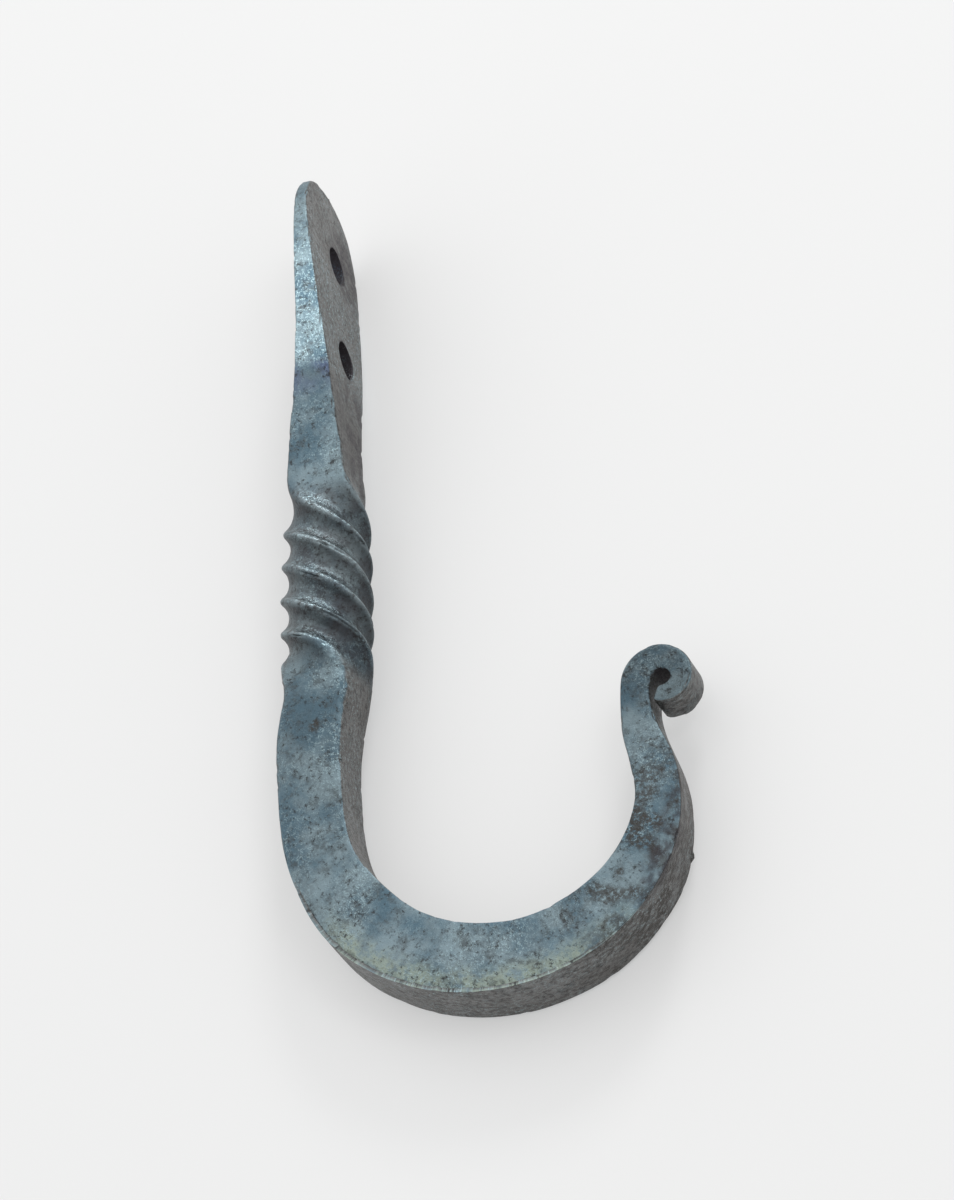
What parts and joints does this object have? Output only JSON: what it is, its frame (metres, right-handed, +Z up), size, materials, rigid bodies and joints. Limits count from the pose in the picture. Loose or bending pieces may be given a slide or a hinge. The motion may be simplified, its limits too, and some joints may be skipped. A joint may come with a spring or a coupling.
{
  "type": "meat hook",
  "caption": "Hand-forged square-bar steel hook: a flattened screw-on leaf, a twisted shank, a round bend and a small scrolled point, for hanging meat or tools from a wall or beam.",
  "frame": {"origin": "midway between the two screw holes, on the flat back of the leaf", "axes": "+X points out from the wall, along the screw holes, towards the hook's point; +Z is up, along the bar; the hook's flat near side faces -Y"},
  "size_m": [0.0785, 0.0306, 0.1811],
  "materials": {
    "blued_steel": "hand-forged, brushed back and heat-blued, with grey forge scale in the hollows"
  },
  "bodies": {
    "root": {"forged_hook": "blued_steel"}
  },
  "joints": []
}
